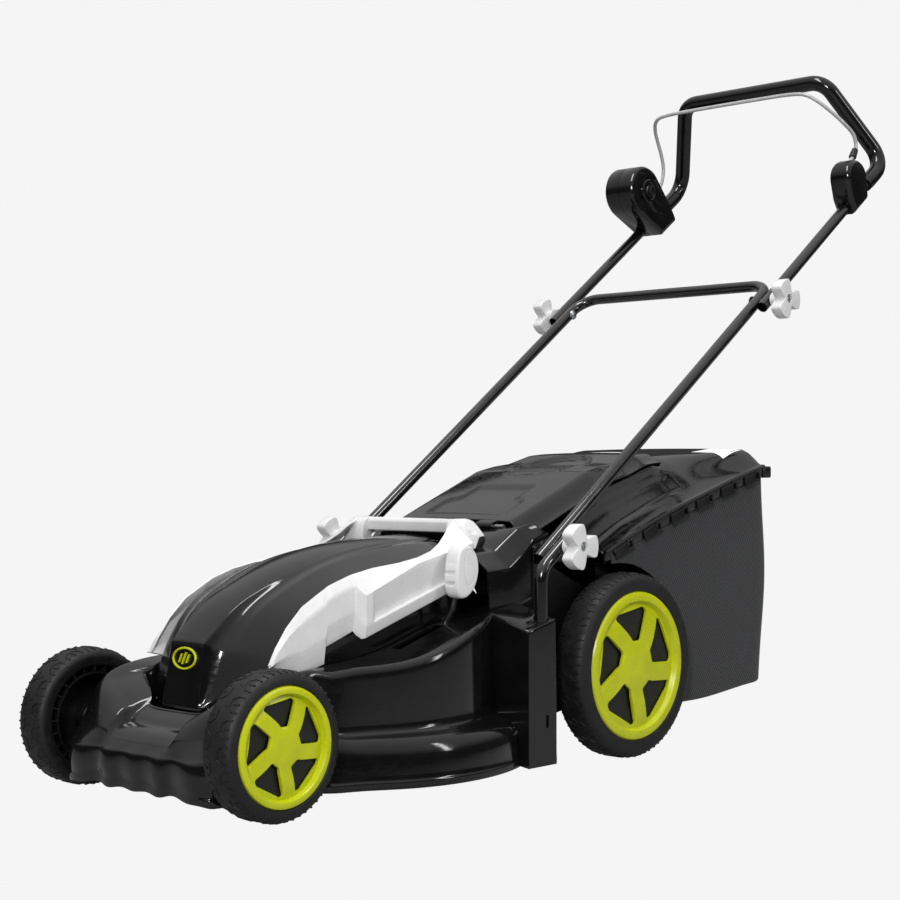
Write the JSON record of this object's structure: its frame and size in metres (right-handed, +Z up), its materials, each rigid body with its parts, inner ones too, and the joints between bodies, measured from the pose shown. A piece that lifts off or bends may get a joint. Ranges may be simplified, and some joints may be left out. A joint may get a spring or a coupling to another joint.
{
  "type": "walk-behind electric rotary lawn mower",
  "caption": "Walk-behind electric rotary lawn mower with spoked-look hub caps, arched hood, folding tube handle, bail switch and rear grass bag.",
  "frame": {"origin": "on the ground, in the middle of the mower's length and width", "axes": "+Z up, +Y towards the operator (the nose points to -Y), +X to the operator's left"},
  "size_m": [0.48, 1.392, 1.0383],
  "materials": {
    "black_gloss": "glossy black injection-moulded plastic",
    "black_matt": "matt black moulded plastic",
    "white": "satin white moulded plastic",
    "lime": "satin lime-yellow moulded plastic",
    "tyre": "matt black moulded tread",
    "painted_tube": "gloss black powder coat",
    "steel": "zinc-plated or bare steel",
    "bail_paint": "light grey powder coat",
    "fabric": "charcoal woven bag cloth"
  },
  "bodies": {
    "deck": {"deck_shell": "black_gloss", "chamber_baffle": "black_matt", "rear_chassis": "black_gloss", "rear_cowl": "black_gloss", "motor_hood": "black_gloss", "side_trim_left": "white", "side_trim_right": "white", "carry_handle": "white", "vent_grille": "black_matt", "nose_badge": "lime", "handle_bracket_left": "painted_tube", "handle_bracket_right": "painted_tube", "motor_can": "painted_tube", "lower_bearing": "steel", "upper_bearing": "steel", "flap_hinge_rod": "steel", "height_quadrant": "steel", "lower_bolt_left": "steel", "lower_bolt_right": "steel"},
    "cutter": {"rotor": "steel", "cooling_fan": "black_matt", "blade_holder": "steel", "cutting_blade": "steel", "blade_bolt": "steel"},
    "front_axle": {"front_axle": "steel"},
    "rear_axle": {"rear_axle": "steel"},
    "height_link": {"height_link": "steel"},
    "height_lever": {"lever_rod": "steel", "lever_knob": "white"},
    "rear_flap": {"rear_flap": "black_gloss"},
    "grass_bag": {"bag_cover": "black_gloss", "bag_fabric": "fabric", "bag_handle": "white"},
    "middle_handle": {"middle_handle": "painted_tube", "upper_bolt_left": "steel", "upper_bolt_right": "steel"},
    "upper_handle": {"upper_handle": "painted_tube", "grip_sleeve": "black_gloss", "pivot_box": "black_gloss", "switch_box_outer": "black_gloss", "switch_box_inner": "black_gloss", "microswitch": "black_matt"},
    "bail": {"bail_rod": "bail_paint"},
    "safety_button": {"safety_button": "black_gloss"},
    "front_wheel_left": {"front_wheel_left_tyre": "tyre", "front_wheel_left_rim": "black_matt", "front_wheel_left_hub_cap": "lime"},
    "front_wheel_right": {"front_wheel_right_tyre": "tyre", "front_wheel_right_rim": "black_matt", "front_wheel_right_hub_cap": "lime"},
    "rear_wheel_left": {"rear_wheel_left_tyre": "tyre", "rear_wheel_left_rim": "black_matt", "rear_wheel_left_hub_cap": "lime"},
    "rear_wheel_right": {"rear_wheel_right_tyre": "tyre", "rear_wheel_right_rim": "black_matt", "rear_wheel_right_hub_cap": "lime"},
    "lower_knob_left": {"lower_knob_left": "white"},
    "lower_knob_right": {"lower_knob_right": "white"},
    "upper_knob_left": {"upper_knob_left": "white"},
    "upper_knob_right": {"upper_knob_right": "white"}
  },
  "joints": [
    {"name": "cutter_spin", "type": "hinge", "parent": "deck", "child": "cutter", "pos_m": [0, -0.34103, 0.036], "axis": [0, 0, 1], "continuous": true},
    {"name": "rear_axle_turn", "type": "hinge", "parent": "deck", "child": "rear_axle", "pos_m": [0, 0.04087, 0.106], "axis": [1, 0, 0], "range_deg": [0, 60]},
    {"name": "front_axle_turn", "type": "hinge", "parent": "deck", "child": "front_axle", "pos_m": [0, -0.57813, 0.066], "axis": [1, 0, 0], "range_deg": [0, 60]},
    {"name": "height_link_turn", "type": "hinge", "parent": "front_axle", "child": "height_link", "pos_m": [0.1295, -0.56063, 0.09631], "axis": [1, 0, 0], "range_deg": [-60, 0]},
    {"name": "height_lever_turn", "type": "hinge", "parent": "deck", "child": "height_lever", "pos_m": [0.1295, -0.31104, 0.118], "axis": [1, 0, 0], "range_deg": [0, 60]},
    {"name": "front_wheel_left_roll", "type": "hinge", "parent": "front_axle", "child": "front_wheel_left", "pos_m": [0.1757, -0.61103, 0.085], "axis": [1, 0, 0], "continuous": true},
    {"name": "rear_wheel_left_roll", "type": "hinge", "parent": "rear_axle", "child": "rear_wheel_left", "pos_m": [0.1911, 0.00796, 0.125], "axis": [1, 0, 0], "continuous": true},
    {"name": "front_wheel_right_roll", "type": "hinge", "parent": "front_axle", "child": "front_wheel_right", "pos_m": [-0.1757, -0.61103, 0.085], "axis": [1, 0, 0], "continuous": true},
    {"name": "rear_wheel_right_roll", "type": "hinge", "parent": "rear_axle", "child": "rear_wheel_right", "pos_m": [-0.1911, 0.00796, 0.125], "axis": [1, 0, 0], "continuous": true},
    {"name": "flap_lift", "type": "hinge", "parent": "deck", "child": "rear_flap", "pos_m": [0, -0.13303, 0.3135], "axis": [1, 0, 0], "range_deg": [0, 65], "stiffness_Nm_per_rad": 0.25, "springref_deg": -28.65},
    {"name": "bag_slide", "type": "slide", "parent": "deck", "child": "grass_bag", "axis": [0, 1, 0], "range_m": [0, 0.35]},
    {"name": "handle_fold", "type": "hinge", "parent": "deck", "child": "middle_handle", "pos_m": [0, -0.13903, 0.291], "axis": [1, 0, 0], "range_deg": [0, 135]},
    {"name": "upper_handle_fold", "type": "hinge", "parent": "middle_handle", "child": "upper_handle", "pos_m": [0, 0.34861, 0.644], "axis": [1, 0, 0], "range_deg": [-95, 0]},
    {"name": "bail_squeeze", "type": "hinge", "parent": "upper_handle", "child": "bail", "pos_m": [0, 0.58896, 0.872], "axis": [-1, 0, 0], "range_deg": [0, 20], "stiffness_Nm_per_rad": 0.6, "springref_deg": -17.19},
    {"name": "button_press", "type": "slide", "parent": "upper_handle", "child": "safety_button", "axis": [-1, 0, 0], "range_m": [0, 0.004], "stiffness_N_per_m": 600, "springref_m": -0.001},
    {"name": "lower_knob_left_turn", "type": "hinge", "parent": "deck", "child": "lower_knob_left", "pos_m": [0.23, -0.13903, 0.291], "axis": [1, 0, 0], "continuous": true},
    {"name": "lower_knob_right_turn", "type": "hinge", "parent": "deck", "child": "lower_knob_right", "pos_m": [-0.23, -0.13903, 0.291], "axis": [1, 0, 0], "continuous": true},
    {"name": "upper_knob_left_turn", "type": "hinge", "parent": "middle_handle", "child": "upper_knob_left", "pos_m": [0.23, 0.34861, 0.644], "axis": [1, 0, 0], "continuous": true},
    {"name": "upper_knob_right_turn", "type": "hinge", "parent": "middle_handle", "child": "upper_knob_right", "pos_m": [-0.23, 0.34861, 0.644], "axis": [1, 0, 0], "continuous": true}
  ],
  "couplings": [
    {"joint": "front_axle_turn", "follows": "rear_axle_turn", "ratio": 1},
    {"joint": "height_lever_turn", "follows": "rear_axle_turn", "ratio": 1},
    {"joint": "height_link_turn", "follows": "rear_axle_turn", "ratio": -1}
  ]
}
